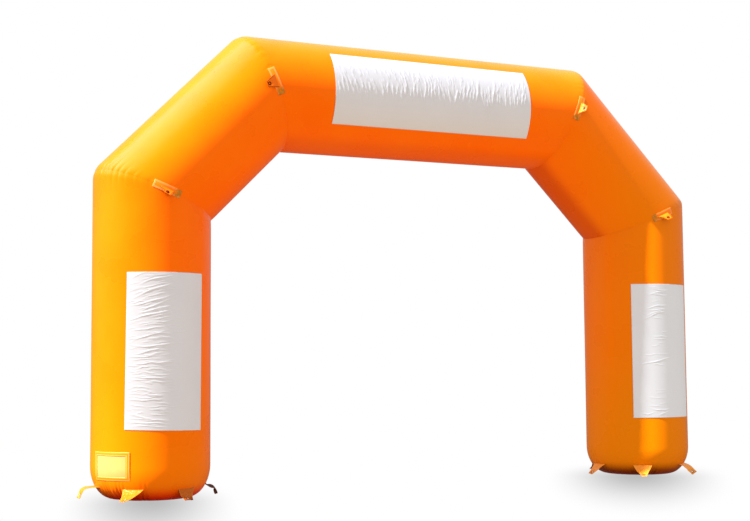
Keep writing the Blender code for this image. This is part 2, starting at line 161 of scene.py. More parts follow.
def slow_waves(draw, turn, height):
    """A slow unevenness between 0 and 1 from a few long waves."""
    total = np.zeros_like(turn)
    for _ in range(SLOW_WAVES):
        across = draw.randint(1, 4)
        along = draw.uniform(1.5, 7.0)
        total += np.sin(across * turn + along * height + draw.uniform(0, 2 * pi))
    return 0.5 + total / (2 * SLOW_WAVES)


def inner_shade_share(name, turn):
    """How much painted shade a length has at each turn from its inner side."""
    start, strength = INNER_SHADE.get(name, (0, 0.0))
    degrees = np.degrees(half_turned(turn))
    begun = np.clip((degrees - start) / INNER_SHADE_START_SPREAD + 0.5, 0, 1)
    ended = np.clip((INNER_SHADE_END - degrees) / INNER_SHADE_END_SPREAD, 0, 1)
    return strength * eased(begun) * eased(ended)


def section_rows(section):
    """Shares of a section's length above its foot at which its rows lie, closer near the welds."""
    footed = section.low_weld is None
    length = section.length - (FOOT_RISE if footed else 0)
    high = [1 - away / length for away in WELD_ROWS]
    low = [0.0] if footed else [away / length for away in WELD_ROWS]
    steps = round((high[-1] - low[-1]) * length / OPEN_ROW)
    middle = [low[-1] + (high[-1] - low[-1]) * step / steps for step in range(1, steps)]
    return low + middle + high[::-1]


def mapped_grid(columns, rows, width, length):
    """A flat grid from -1 to 1 both ways, with a UV map in metres."""
    bm = bmesh.new()
    layer = bm.loops.layers.uv.new("UVMap")
    bmesh.ops.create_grid(bm, x_segments=columns, y_segments=rows, size=1.0, calc_uvs=True)
    for face in bm.faces:
        for loop in face.loops:
            loop[layer].uv = (loop[layer].uv.x * width, loop[layer].uv.y * length)
    return bm


def section_mesh(section, welds):
    """The closed skin of one section, with a UV map in metres round it and along it."""
    footed = section.low_weld is None
    foot_rows = FOOT_ROWS if footed else 0
    rows = [0.0] * foot_rows + section_rows(section)
    bm = mapped_grid(COLUMNS, len(rows) - 1, 2 * pi * TUBE_RADIUS, 1.0)
    places = np.array([vertex.co for vertex in bm.verts])
    turn = (places[:, 0] + 1) * pi
    row = np.rint((places[:, 1] + 1) / 2 * (len(rows) - 1)).astype(int)

    share = np.array(rows)[row]
    inner = TUBE_RADIUS * np.cos(turn)
    low = np.full_like(turn, FOOT_RISE)
    if not footed:
        low = MITRE_SLOPE * inner + WELD_GAP
    high = section.length - MITRE_SLOPE * inner - WELD_GAP
    height = low + share * (high - low)
    weld_turn = section.sense * turn
    depth = weld_depth(welds[section.high_weld], weld_turn, high - height)
    if footed:
        angle = np.pi / 2 * row / foot_rows
        in_foot = row < foot_rows
        height = np.where(in_foot, FOOT_RISE * (1 - np.cos(angle)), height)
        fuller = np.exp(-(half_turned(turn - FOOT_FULL_TURN) / FOOT_FULL_SPREAD) ** 2)
        fullness = FOOT_FULLNESS.get(section.name, 0.0) * fuller
        drawn = FOOT_DRAW * (1 - np.sin(angle)) * (1 - fullness)
        gathers = foot_tucks(Random(section.name), FOOT_CLUSTERS[section.name])
        folds = tuck_depth(gathers, turn, height, TUBE_RADIUS - FOOT_DRAW / 2)
        depth = depth + np.where(in_foot, drawn, 0) + folds
    else:
        depth = depth + weld_depth(welds[section.low_weld], weld_turn, height - low)
    draw = Random(section.name)
    depth += SKIN_SAG * slow_waves(draw, turn, height) * np.minimum(1, height / FOOT_RISE)
    low_share = 0 if footed else 1 - share
    height = height + MITRE_SLOPE * np.cos(turn) * depth * (share - low_share)
    # Painted shade on the inner side of some lengths, kept on each vertex for the tube's material.
    grime = bm.verts.layers.float.new("grime")
    inner_shaded = inner_shade_share(section.name, turn)
    for vertex, out, at, up, inner_shade_amount in zip(bm.verts, TUBE_RADIUS - depth, turn, height, inner_shaded):
        vertex.co = (out * cos(at), out * sin(at), up)
        vertex[grime] = inner_shade_amount
    layer = bm.loops.layers.uv["UVMap"]
    for face in bm.faces:
        for loop in face.loops:
            loop[layer].uv.y = loop.vert.co.z
    bmesh.ops.remove_doubles(bm, verts=bm.verts, dist=NEAR)
    bmesh.ops.holes_fill(bm, edges=[edge for edge in bm.edges if edge.is_boundary], sides=0)
    bmesh.ops.recalc_face_normals(bm, faces=bm.faces)
    return bm


def finished_piece(name, bm, place, material, smooth_below=60):
    """A mesh object at the origin, with its place in its mesh, smooth except at its sharp edges."""
    mesh = bpy.data.meshes.new(name)
    bm.to_mesh(mesh)
    bm.free()
    mesh.transform(place)
    mesh.shade_smooth()
    mesh.set_sharp_from_angle(angle=radians(smooth_below))
    mesh.materials.append(material)
    piece = bpy.data.objects.new(name, mesh)
    bpy.context.collection.objects.link(piece)
    return piece


def linear(hex_colour):
    """Linear RGBA of an sRGB hex colour."""
    channels = [int(hex_colour[start:start + 2], 16) / 255 for start in (1, 3, 5)]
    values = [c / 12.92 if c <= 0.04045 else ((c + 0.055) / 1.055) ** 2.4 for c in channels]
    return (*values, 1.0)


def feed(node, inputs):
    """Sets inputs to values or hex colours, or links them from a socket or a node's first output in use.

    Where the names of inputs repeat, numbers stand: 0, 6 and 7 for the factor and colours of a Mix node.
    """
    for name, value in inputs.items():
        if isinstance(value, bpy.types.Node):
            value = next(output for output in value.outputs if output.enabled)
        if isinstance(value, bpy.types.NodeSocket):
            node.id_data.links.new(value, node.inputs[name])
        else:
            node.inputs[name].default_value = linear(value) if isinstance(value, str) else value


def add_node(tree, kind, inputs=None, stops=(), **settings):
    """A new node with its settings, its inputs and a ramp's stops as (place, colour)."""
    node = tree.nodes.new(f"ShaderNode{kind}")
    if kind == "Mix":
        node.data_type = "RGBA"
    for name, value in settings.items():
        setattr(node, name, value)
    feed(node, inputs or {})
    if stops:
        elements = node.color_ramp.elements
        for stop, colour in stops:
            elements.new(stop).color = linear(colour)
        elements.remove(elements[0])
        elements.remove(elements[-1])
    return node


def shader_of(material):
    """A material's own shader."""
    return material.node_tree.nodes["Principled BSDF"]


def new_material(name):
    """A node material, what adds nodes to it, and its shader, ready to be fed."""
    material = bpy.data.materials.new(name)
    material.use_nodes = True
    return material, partial(add_node, material.node_tree), shader_of(material)


SMOOTHLY = {"interpolation_type": "SMOOTHSTEP"}
OVER_WIDTH = {"From Min": -3.2, "From Max": 3.2}  # the arch's whole width
# Where painted shade dulls the tube's orange, towards the right and low down, and how high the painted shade
# round the feet's rims reaches.
SHADE_RIGHTWARDS = {"From Min": 0.9, "From Max": 2.7, "To Max": 0.8}
SHADE_DOWNWARDS = {"From Min": 1.6, "From Max": 0.0, "To Max": 0.5}
PAINTED_RIM_SHADE_HEIGHT = 0.14
PVC_IOR = 1.5
THREAD = 0.004  # threads 1 mm apart are drawn 4 mm apart, because finer ones would not show


def coated_cloth(name, colours, roughness, weave_depth, painted_shade_colour=None, rim_shades=None):
    """Calendered PVC on woven polyester: a soft gloss, slow tint changes and threads that print through.

    weave_depth is how far the threads stand; the next argument is a duller orange painted as shade to the
    right and low on the left leg, and the last the colours of painted shade round the feet's rims, from the
    left to the right.
    """
    material, add, shader = new_material(name)
    place = add("TexCoord").outputs["Object"]
    cloudy = add("TexNoise", {"Vector": place, "Scale": 2.2, "Detail": 4.0, "Roughness": 0.55})
    tint = add("MapRange", {"Value": cloudy, "From Min": 0.35, "From Max": 0.65})
    colour = add("Mix", {0: tint, 6: colours[0], 7: colours[1]})
    if painted_shade_colour:
        # Painted shade: a duller orange to the right and low down, a darker one on some lengths' inner sides,
        # and deep red round the feet's rims.
        x, _, z = add("SeparateXYZ", {"Vector": place}).outputs
        rightwards = add("MapRange", {"Value": x, **SHADE_RIGHTWARDS}, **SMOOTHLY)
        downwards = add("MapRange", {"Value": z, **SHADE_DOWNWARDS}, **SMOOTHLY)
        painted_shade_amount = add("Math", {0: rightwards, 1: downwards}, operation="ADD", use_clamp=True)
        worn = add("Mix", {0: painted_shade_amount, 6: colour, 7: painted_shade_colour})
        grime = add("Attribute", attribute_name="grime").outputs["Fac"]
        inner_shaded = add("Mix", {0: grime, 6: worn, 7: INNER_SHADE_COLOUR})
        width_share = add("MapRange", {"Value": x, **OVER_WIDTH})
        rim_shade_colour = add("ValToRGB", {"Fac": width_share}, rim_shades)
        rim = add("MapRange", {"Value": z, "From Min": PAINTED_RIM_SHADE_HEIGHT, "From Max": 0.0}, **SMOOTHLY)
        colour = add("Mix", {0: rim, 6: inner_shaded, 7: rim_shade_colour})
    gloss = add("MapRange", {"Value": cloudy, "From Min": 0.3, "From Max": 0.7})
    feed(gloss, {"To Min": roughness[0], "To Max": roughness[1]})
    flat = add("UVMap", uv_map="UVMap")
    wave_scale = 2 * pi / (20 * THREAD)  # a wave turns through 20 radians for each unit of its scale
    warp, weft = (
        add("TexWave", {"Vector": flat, "Scale": wave_scale}, bands_direction=axis).outputs["Fac"]
        for axis in "XY"
    )
    weave = add("Math", {0: warp, 1: weft}, operation="MULTIPLY")
    threads = add("Bump", {"Height": weave, "Distance": weave_depth})
    feed(shader, {"Base Color": colour, "Roughness": gloss, "Normal": threads, "IOR": PVC_IOR})
    return material


# PVC-coated polyester, calendered to a soft gloss: broad soft highlights over a saturated orange.
# Painted shade round the feet's rims, by the place across the arch: deep red, lighter at the far left and
# darkest at the right foot. #E67B00 is the duller orange painted as shade to the right and low down.
PAINTED_RIM_SHADES = ((0.036, "#C06400"), (0.056, "#F02400"), (0.3, "#F02400"), (0.7, "#741400"))
tube_vinyl = coated_cloth(
    "coated polyester, orange", ("#FF6700", "#FF6D00"), (0.25, 0.31), 0.00002, "#E67B00", PAINTED_RIM_SHADES
)
feed(shader_of(tube_vinyl), {"Specular Tint": (1.0, 0.6, 0.13, 1.0)})

# Each weld's main puckers, as (turn in degrees, width, depth, reach), and each foot's clusters of gathers, as
# (turn and spread in degrees, count, greatest depth).
WELD_PUCKERS = (
    (
        (198, 0.017, 0.0034, 0.07), (206, 0.015, 0.0042, 0.09), (213, 0.013, 0.0046, 0.11),
        (220, 0.012, 0.004, 0.085), (227, 0.012, 0.0026, 0.07), (236, 0.012, 0.0018, 0.055),
    ),
    ((232, 0.014, 0.0026, 0.05), (251, 0.012, 0.002, 0.06)),
    ((225, 0.012, 0.002, 0.05),),
    ((229, 0.014, 0.0026, 0.06),),
)
FOOT_CLUSTERS = {
    "leg_left": ((-150, 40, 9, 0.02), (-113, 10, 3, 0.01)),
    "leg_right": ((70, 20, 4, 0.018),),
}
draw = Random("welds")
welds = [(outer, weld_tucks(draw, main)) for outer, main in zip(OUTER_ROUNDS, WELD_PUCKERS)]

for section in SECTIONS:
    bm = section_mesh(section, welds)
    turn = Matrix.Rotation(radians(section.turn), 4, section.turn_axis)
    skin = finished_piece(f"{section.name}_skin", bm, Matrix.Translation(section.place) @ turn, tube_vinyl)
    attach(skin, "root")
    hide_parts(section.name)


# Banners. Plain white vinyl panels, one on the front of each leg and one on the crossbar, fixed to the tube
# along their edges. The air stretches the tube more than the panels, so fine wrinkles run round it.
BANNER_WIDTH = 0.687
LEG_BANNER_BASE = 0.562
LEG_BANNER_LENGTH = 1.297
TOP_BANNER_LENGTH = 2.0
TOP_BANNER_RAISED = radians(3.8)
BANNER_CLEAR = 0.0012
SHEET_THICKNESS = 0.0015
BANNER_CELL = (0.01, 0.0032)  # grid cell round the tube and along it
EDGE_HOLD = 0.02  # width of the fixed edge, where wrinkles die out
CREASE_WANDER = 0.0025  # how far a crease strays from its line
CREASE_SWELL = 0.18  # share by which a crease's height swells and sinks along it
CREASE_OVERLAP = 0.35  # share of a crease that adds to one across it

# along and across are a crease's middle, up from the lower edge and round the tube from the banner's middle
# line, reach half its run round the tube, and rise and bow its climb and its curve.
Crease = namedtuple("Crease", "along across reach rise width height bow", defaults=(7, 3.5, 0))


def in_metres(rows):
    """The main creases of a banner, from rows in millimetres."""
    return [Crease(*(value / 1000 for value in Crease(*row))) for row in rows]


LEFT_CREASES = in_metres((
    (1262, -197, 100, 38, 8, 3, 30), (1268, -30, 160, 8, 8, 2.2, 6), (1235, -64, 144, 60, 8, 4.5, 17),
    (1188, -110, 110, 50, 6, 2.2), (1146, -111, 160, 119, 8, 4.8, 12), (1100, -120, 80, 46, 6, 2.5, 6),
    (1061, -139, 150, 81, 8, 4.5, -7), (1060, -21, 100, 80), (1010, -140, 70, 58, 7, 4),
    (993, -90, 120, 64, 7, 4), (945, -125, 175, 83, 8, 5, 6), (949, -35, 90, 45, 7, 4),
    (923, -26, 80, 30, 7, 3.8), (892, -18, 85, 28, 7, 4.2), (868, -110, 100, 22, 6, 2.2),
    (830, -160, 110, 32, 7, 3.6), (800, -90, 70, 26, 6, 2.8), (762, -137, 140, 67, 8, 4.2, 19),
    (754, -103, 60, 14, 6, 3), (761, -15, 65, -19, 7, 3.6), (706, -110, 165, 33, 8, 4.8, -18),
    (690, -40, 60, 30, 6, 3.5), (648, -146, 90, 48, 8, 4.5), (606, -200, 110, 20, 7, 4, -8),
    (621, -124, 80, 33, 6, 3), (580, -200, 80, 14, 6, 2.6), (555, -35, 95, 9, 8, 4.5), (546, -180, 90, 28),
    (510, -195, 50, 20, 6, 3.5, 6), (500, -70, 60, -12, 6, 2.8), (468, -145, 50, -20, 6, 3),
    (455, -50, 80, 6, 6, 3, -4), (427, -105, 140, -7, 8, 4.8), (411, -220, 90, -1, 6, 2.8),
    (397, -57, 85, -1, 7, 3.4), (350, -210, 70, -12, 7, 2.6, 4), (320, -160, 50, -18, 7, 3),
    (290, -101, 60, -6, 8, 4.2, -6), (250, -200, 110, 6, 8, 3.8, -6), (268, -130, 55, 20, 7, 3),
    (200, -240, 60, -16, 7, 2.4), (169, -59, 65, -4, 8, 3.4), (108, -201, 85, -37, 8, 4),
    (85, -72, 85, -5, 8, 3.5), (60, -152, 130, -4, 8, 4.2), (30, -140, 140, -6, 8, 2.5, 4),
))
RIGHT_CREASES = in_metres((
    (1245, -20, 120, -14, 8, 3.6, -10), (1262, -110, 60, -14, 7, 3), (1207, -87, 80, 29, 8, 4.2, 6),
    (1193, -78, 70, -22, 7, 4), (1188, 30, 80, 4, 8, 3), (1072, -86, 100, 29, 8, 4, 11),
    (1045, -78, 95, 16, 7, 3.4), (1012, -106, 95, 66, 8, 4, 10), (992, -106, 115, 84, 8, 4.8, 13),
    (983, -240, 30, -40, 8, 3), (967, -102, 55, -14, 7, 2.4), (784, -48, 80, -2, 8, 2.6),
    (760, -55, 65, 0, 7, 2.6), (613, -40, 90, -1, 7, 1.8), (547, -100, 170, 72, 8, 5),
    (512, -90, 60, -10, 7, 2.6), (192, -114, 90, -7, 8, 1.8), (114, -135, 50, -3, 8, 2.2),
    (87, -61, 95, 2, 8, 4.2, -14), (45, -215, 60, 4, 8, 4, -10), (50, -18, 75, 56, 8, 4.2),
    (76, 130, 70, 6, 7, 3),
))
# On the crossbar's banner along is from the middle towards +X, and across is downwards.
TOP_CREASES = in_metres((
    (-960, 20, 62, 11), (-929, -29, 108, 28, 7, 3.5, 6), (-893, -35, 111, 43, 7, 3.5, 6),
    (-840, -9, 80, 50), (-804, -50, 51, 33), (-739, -27, 47, 22), (-756, 68, 52, 12, 7, 3),
    (-700, 10, 60, 20, 7, 3), (-666, -11, 44, 10), (-612, -7, 78, 51), (-540, 6, 72, 16),
    (-494, -10, 62, -15), (-441, -2, 60, 9), (-407, -128, 30, 23, 6, 2.5), (-400, 0, 50, -20, 6, 3),
    (-358, 29, 61, -19), (-311, -33, 69, -16, 8, 4.5), (-262, 10, 45, -14, 6, 2.8), (-228, -20, 75, -15),
    (-222, -150, 47, -11, 6, 2.5), (-193, -3, 43, -17), (-114, -14, 86, -34), (-80, -20, 50, -20, 6, 2.8),
    (-47, -36, 81, -12), (-15, -31, 74, -10), (28, -38, 64, 5), (75, -20, 50, 20, 6, 3), (137, 12, 81, 28),
    (198, 7, 71, -45, 8, 4.5, 6), (240, 0, 60, -30, 6, 2.8), (288, -31, 89, -36), (330, -45, 81, -59),
    (350, -5, 72, -40), (384, -4, 54, -20), (432, -59, 106, -49, 8, 4.5), (480, -20, 50, 10, 6, 2.5),
    (519, 116, 83, 31, 7, 2.8), (531, 54, 49, 1), (600, -50, 117, -58, 8, 4.5), (641, -36, 65, 4, 7, 3),
    (664, 3, 50, 3, 7, 3), (730, 0, 60, -10, 6, 2.4), (780, 20, 60, -10, 6, 2.4), (826, 10, 71, -2, 7, 3),
    (858, 1, 65, -22, 7, 3.2), (911, -31, 67, -34), (941, -23, 63, -32),
))


def small_creases(draw, count, along_range, across_range, rise_at):
    """Fine creases between the main ones, leaning as rise_at says for their places."""
    creases = []
    for _ in range(count):
        along = draw.uniform(*along_range)
        across = draw.uniform(*across_range)
        reach = draw.uniform(0.02, 0.06)
        lean = rise_at(along) + draw.uniform(-0.12, 0.12)
        height = draw.uniform(0.001, 0.0028)
        width = draw.uniform(0.005, 0.007)
        creases.append(Crease(along, across, reach, 2 * reach * lean, width, height, 0.0))
    return creases


def crease_lift(creases, along, across, shares):
    """How far the creases stand off the tube at each place of a banner.

    shares are what is taken of their widths and heights, and how far they flatten past the banner's middle.
    """
    lift = np.zeros_like(along)
    for crease in creases:
        width = shares[0] * crease.width
        off = (across - crease.across) / crease.reach
        line = crease.along + crease.rise / 2 * off + crease.bow * (1 - off * off)
        line += CREASE_WANDER * np.sin(4.6 * off + 90 * crease.along)
        near = np.abs(along - line) < 4 * width
        shape = np.exp(-(((along - line)[near] / width) ** 2) - off[near] ** 4)
        shape *= 1 - CREASE_SWELL + CREASE_SWELL * np.sin(8 * off[near] + 130 * crease.along)
        crossed = CREASE_OVERLAP * lift[near] + shares[1] * crease.height * shape
        lift[near] = np.maximum(lift[near], crossed)
    past_middle = np.clip((across + 0.16) / 0.18, 0, 1)
    return lift * (1 - shares[2] * past_middle * past_middle)


def banner_mesh(length, start, creases, shares, askew):
    """A banner on an upright tube's front, with a UV map in metres.

    askew is how far the lower end's left corner stands too high, and how far that end stands aside.
    """
    columns, rows = round(BANNER_WIDTH / BANNER_CELL[0]), round(length / BANNER_CELL[1])
    bm = mapped_grid(columns, rows, BANNER_WIDTH, length)
    places = np.array([vertex.co for vertex in bm.verts])
    across = places[:, 0] * BANNER_WIDTH / 2
    along = start + (places[:, 1] + 1) / 2 * length
    lift = crease_lift(creases, along, across, shares)
    side = np.clip((BANNER_WIDTH / 2 - np.abs(across)) / EDGE_HOLD, 0, 1)
    end = np.clip((length / 2 - np.abs(along - start - length / 2)) / EDGE_HOLD, 0, 1)
    lift *= eased(side) * (0.3 + 0.7 * end)
    low_share = 1 - (along - start) / length
    turn = (across + askew[1] * low_share) / TUBE_RADIUS
    along = along + askew[0] * low_share * (0.5 - across / BANNER_WIDTH)
    for vertex, out, at, up in zip(bm.verts, TUBE_RADIUS + BANNER_CLEAR + lift, turn, along):
        vertex.co = (out * sin(at), -out * cos(at), up)
    return bm


def thicken(piece, offset=1, back=None):
    """Gives a sheet its thickness, outwards (1) or both ways (0), and its back a finish."""
    solid = piece.modifiers.new("Thickness", "SOLIDIFY")
    if back:
        piece.data.materials.append(back)
        solid.material_offset = 1
    solid.thickness = SHEET_THICKNESS
    solid.offset = offset
    solid.use_even_offset = True


# White PVC banner vinyl, matt calendered: chalky white that goes faintly mauve in shade. The right leg's
# panel has a cooler, slightly lighter copy of the white: painted light that offsets the warmer, dimmer light
# it gets.
banner_vinyl = coated_cloth("banner vinyl, white", ("#D6D4DA", "#D3D1D7"), (0.46, 0.54), 0.00003)
banner_vinyl_painted_cool = coated_cloth("banner vinyl, cool white", ("#DADCE4", "#D7D9E1"), (0.46, 0.54), 0.00003)

draw = Random("creases")
leg_run = (0.03, 1.27)
left_small = small_creases(draw, 180, leg_run, (-0.33, 0.1), lambda at: 0.05 + 0.28 * max(0, at - 0.45))
right_small = small_creases(draw, 12, leg_run, (-0.2, 0.1), lambda at: 0.1)
top_small = small_creases(draw, 190, (-0.97, 0.97), (-0.2, 0.08), lambda at: 0.15 - 0.35 * at)

LEFT_FRONT = Matrix.Translation((-LEG_X, 0, LEG_BANNER_BASE))
RIGHT_FRONT = Matrix.Translation((LEG_X, 0, LEG_BANNER_BASE))
RAISED_LEVEL = Matrix.Rotation(-TOP_BANNER_RAISED, 4, "X") @ Matrix.Rotation(pi / 2, 4, "Y")
TOP_FRONT = Matrix.Translation((0, 0, CROSSBAR_Z)) @ RAISED_LEVEL
BANNERS = (
    (
        "left", "leg_left_skin", LEFT_FRONT, LEG_BANNER_LENGTH, 0.0,
        LEFT_CREASES + left_small, (0.75, 0.95, 0.5), (0.017, -0.013), banner_vinyl,
    ),
    (
        "right", "leg_right_skin", RIGHT_FRONT, LEG_BANNER_LENGTH, 0.0,
        RIGHT_CREASES + right_small, (0.75, 0.6, 0.4), (0, 0), banner_vinyl_painted_cool,
    ),
    (
        "top", "crossbar_skin", TOP_FRONT, TOP_BANNER_LENGTH, -TOP_BANNER_LENGTH / 2,
        TOP_CREASES + top_small, (1.3, 1.6, 0), (0, 0), banner_vinyl,
    ),
)
for side, carrier, place, length, start, creases, shares, askew, vinyl in BANNERS:
    name = f"banner_{side}"
    bm = banner_mesh(length, start, creases, shares, askew)
    banner = finished_piece(f"{name}_sheet", bm, place, vinyl)
    thicken(banner)
    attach(banner, "root")
    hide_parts(name)


# Document pocket. A blank card slid into a welded pocket frame, low on the left leg's outer side. The frame
# is cut from the tube's own cloth and has a double weld line along its edges.
SHEET_CLEAR = 0.0007
CELL = 0.004
WELD_WIDTH = 0.0022  # half width of a weld line
WELD_RISE = 0.0007
LABEL_TURN = radians(-57)
LABEL_HEIGHT = 0.2825
POCKET_SIZE = (0.38, 0.235)
POCKET_WINDOW = (0.306, 0.172)
CARD_SIZE = (0.325, 0.19)
POCKET_WELDS = (0.006, 0.028)  # distances of the weld lines from the frame's outer edge


def cut_sheet(size, cell):
    """A flat sheet round the origin, with a UV map in metres and a weld value of 0."""
    columns, rows = (max(2, round(side / cell)) for side in size)
    bm = mapped_grid(columns, rows, *size)
    bm.verts.layers.float.new("weld")
    for vertex in bm.verts:
        vertex.co = (vertex.co.x * size[0] / 2, vertex.co.y * size[1] / 2, 0)
    return bm


def mark_welds(bm, edge_distance, lines):
    """Sets each vertex's weld value from how near it is to a weld line along the sheet's edge."""
    weld = bm.verts.layers.float["weld"]
    for vertex in bm.verts:
        distance = edge_distance(vertex.co)
        vertex[weld] = max(exp(-(((distance - line) / WELD_WIDTH) ** 2)) for line in lines)


def foot_radius(height):
    """The leg's radius at a height: full above the foot's round, drawn in below it."""
    share = min(1.0, max(0.0, 1 - height / FOOT_RISE))
    return TUBE_RADIUS - FOOT_DRAW * (1 - sqrt(1 - share * share))


def wrap_on_leg(bm, turn, middle, clear):
    """Lays a flat sheet round a leg, its middle at a turn from the front and a height."""
    weld = bm.verts.layers.float["weld"]
    for vertex in bm.verts:
        height = middle + vertex.co.y
        radius = foot_radius(height) + clear + WELD_RISE * vertex[weld]
        at = turn + vertex.co.x / TUBE_RADIUS
        vertex.co = (radius * sin(at), -radius * cos(at), height)


def rectangle_edge(size):
    """The distance of a place from the edge of a rectangle round the origin."""
    return lambda place: min(size[0] / 2 - abs(place.x), size[1] / 2 - abs(place.y))


def welded_cloth(name, colours, weld_colour, roughness, flap_shadow_colour=None):
    """The tube's cloth with lines where a hot weld has pressed it, and any painted shadow of a flap."""
    material = coated_cloth(name, colours, roughness, 0.00004)
    add, shader = partial(add_node, material.node_tree), shader_of(material)
    weld = add("Attribute", attribute_name="weld").outputs["Fac"]
    plain = shader.inputs["Base Color"].links[0].from_socket
    colour = add("Mix", {0: weld, 6: plain, 7: weld_colour})
    if flap_shadow_colour:
        # Painted shadow of a flap: olive blotches towards a patch's inner end.
        soiled = add("Attribute", attribute_name="soiled").outputs["Fac"]
        place = add("TexCoord").outputs["Object"]
        blotches = add("TexNoise", {"Vector": place, "Scale": 34.0, "Detail": 4.0})
        spread = add("MapRange", {"Value": blotches, "From Min": 0.35, "From Max": 0.6, "To Min": 0.35})
        flap_shadow_mark = add("Math", {0: soiled, 1: spread}, operation="MULTIPLY")
        colour = add("Mix", {0: flap_shadow_mark, 6: colour, 7: flap_shadow_colour})
    feed(shader, {"Base Color": colour, "Specular Tint": (1.0, 0.6, 0.15, 1.0)})
    return material


def mottled_finish(name, colours, roughness, scale, detail, bare_metal=0.0):
    """A plain finish whose colour and gloss are finely mottled."""
    material, add, shader = new_material(name)
    place = add("TexCoord").outputs["Object"]
    mottle = add("TexNoise", {"Vector": place, "Scale": scale, "Detail": detail})
    colour = add("Mix", {0: mottle, 6: colours[0], 7: colours[1]})
    dulled = add("MapRange", {"Value": mottle, "To Min": roughness[0], "To Max": roughness[1]})
    feed(shader, {"Base Color": colour, "Roughness": dulled, "Metallic": bare_metal})
    return material


# The pocket's frame: the tube's coated cloth, painted a shade yellower as painted light, with pale weld
# lines.
pocket_vinyl = welded_cloth("coated polyester, welded frame", ("#FF7604", "#FF7C08"), "#FFA860", (0.34, 0.42))

# Coated card: smooth pale yellow board behind clear film, which gives it an even soft gloss.
card_board = mottled_finish("coated card, pale yellow", ("#B89650", "#C0A058"), (0.24, 0.34), 18.0, 6.0)

LEFT_LEG = Matrix.Translation((-LEG_X, 0, 0))
bm = cut_sheet(CARD_SIZE, CELL)
wrap_on_leg(bm, LABEL_TURN, LABEL_HEIGHT, SHEET_CLEAR)
card = finished_piece("label_card_board", bm, LEFT_LEG, card_board)
thicken(card)
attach(card, "root")
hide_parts("label_card")

bm = cut_sheet(POCKET_SIZE, CELL)
mark_welds(bm, rectangle_edge(POCKET_SIZE), POCKET_WELDS)
window = rectangle_edge(POCKET_WINDOW)
inside = [face for face in bm.faces if window(face.calc_center_median()) > 0]
bmesh.ops.delete(bm, geom=inside, context="FACES")
wrap_on_leg(bm, LABEL_TURN, LABEL_HEIGHT, SHEET_CLEAR * 2 + SHEET_THICKNESS)
pocket = finished_piece("label_pocket_frame", bm, LEFT_LEG, pocket_vinyl)
thicken(pocket)
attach(pocket, "root")
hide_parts("label_pocket")


# Guy flaps. On the front of each mitre a patch is welded over the seam, and a flap of doubled cloth with a
# clinched metal eyelet stands off it for a guy line.
EYELET_BORE = 0.008
EYELET_BARREL = 0.0106
EYELET_FLANGE = 0.0155
EYELET_WALL = 0.0009
EYELET_SEAT = 0.0003  # between a flange and the cloth
EYELET_ROUND = 0.45 * EYELET_WALL
EYELET_STEPS = 32
EYELET_HOLD = 0.021  # how far from its centre an eyelet holds the cloth flat
PATCH_SIZE = (0.246, 0.068)  # along the seam and across it
PATCH_WELDS = (0.005, 0.012)
PATCH_FLAP_SHADOW = 0.8  # how strongly a painted shadow of the flap darkens a patch's inner end, and how far along it
PATCH_FLAP_SHADOW_REACH = 0.055
FLAP_ROOT = 0.125
FLAP_TIP = 0.058
FLAP_EYELET_SET = 0.026  # from the tip's edge to the eyelet's centre
FLAP_BENDS = (0.35,)
FLAP_WELDS = (0.005,)
FLAP_CURL = 0.004
BEND_SPREAD = 0.3  # share of a strip's length over which each bend is rounded
ROOT_FADE = 0.45  # share of a strip's length over which it leaves what its root is welded to
PATH_STEPS = 120

Mitre = namedtuple("Mitre", "name x z seam_turn side along length slopes skew")
MITRES = (
    Mitre("left_low", -LEG_X, LEG_HEIGHT, 157.5, 1, 0.014, 0.072, (54, 34), 0.006),
    Mitre("left_high", -CROSSBAR_X, CROSSBAR_Z, 112.5, 1, 0.03, 0.106, (14, 4), 0.004),
    Mitre("right_high", CROSSBAR_X, CROSSBAR_Z, 67.5, -1, 0.03, 0.074, (70, 48), 0.004),
    Mitre("right_low", LEG_X, LEG_HEIGHT, 22.5, -1, 0.006, 0.088, (62, 40), 0.014),
)
MITRE_ANGLE = atan(MITRE_SLOPE)


def mitre_surface(along, across):
    """The skin's height over its axis on a mitre's front, along its seam and across it."""
    off_axis = along * cos(MITRE_ANGLE) + abs(across) * sin(MITRE_ANGLE)
    drawn = WELD_DRAW * max(0, 1 - (across / WELD_DRAW_REACH) ** 2) ** 2
    return sqrt((TUBE_RADIUS - drawn) ** 2 - off_axis ** 2)


def mitre_place(mitre):
    """Turns a mitre's own axes into the arch's: X along its seam outwards, Z out of the front."""
    turn = Matrix.Rotation(-radians(mitre.seam_turn), 4, "Y") @ Matrix.Rotation(pi / 2, 4, "X")
    return Matrix.Translation((mitre.x, 0, mitre.z)) @ turn


def bent_path(length, bends, slopes):
    """Places along a strip with the run, rise and slope there; slopes come in degrees."""
    place = np.linspace(0, length, PATH_STEPS + 1)
    slope = np.full(PATH_STEPS + 1, radians(slopes[0]))
    for share, before, after in zip(bends, slopes, slopes[1:]):
        blend = np.clip((place / length - share) / BEND_SPREAD + 0.5, 0, 1)
        slope += radians(after - before) * eased(blend)
    middle = (slope[1:] + slope[:-1]) / 2
    step = length / PATH_STEPS
    run, rise = (np.concatenate([[0], np.cumsum(part(middle)) * step]) for part in (np.cos, np.sin))
    return place, run, rise, slope


def strip_width(share, root, tip):
    """A strip's width at a share of its length: its sides draw in more near the root."""
    return tip + (root - tip) * (1 - share) ** 1.25


